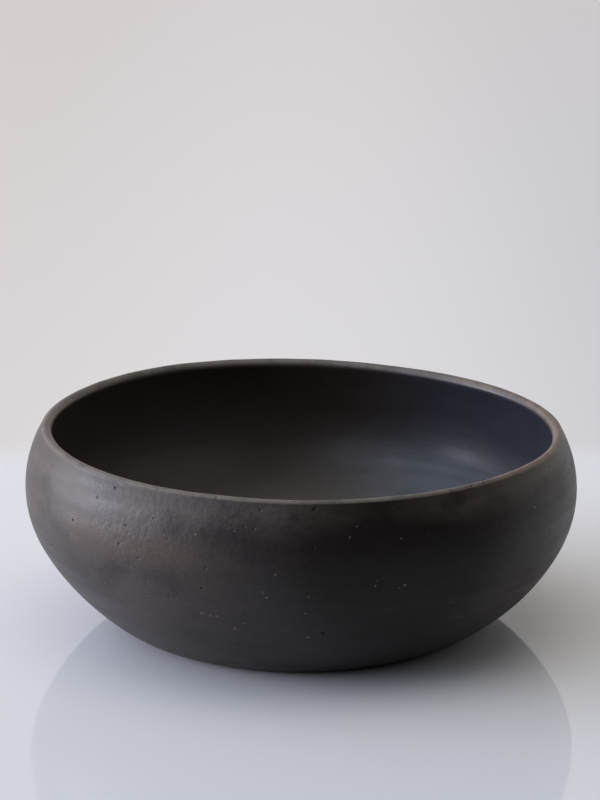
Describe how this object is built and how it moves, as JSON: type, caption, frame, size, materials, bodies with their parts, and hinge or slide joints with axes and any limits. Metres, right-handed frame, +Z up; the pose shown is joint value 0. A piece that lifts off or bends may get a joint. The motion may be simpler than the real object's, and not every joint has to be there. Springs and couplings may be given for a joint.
{
  "type": "bowl",
  "caption": "Wide, low round bowl of smoke-fired black clay, with a full belly, a closed-in mouth, a rounded lip and a flat foot to stand on.",
  "frame": {"origin": "centre of the flat foot, on the surface that the bowl stands on", "axes": "+Z up, along the bowl's axis of revolution; +X to the right and -Y to the front in the view the bowl is shown from"},
  "size_m": [0.28, 0.28, 0.1015],
  "materials": {
    "black_clay": "burnished and smoke-fired unglazed clay, dark brown-black, satin, with faint horizontal burnishing strokes and small pits"
  },
  "bodies": {
    "root": {"bowl": "black_clay"}
  },
  "joints": []
}
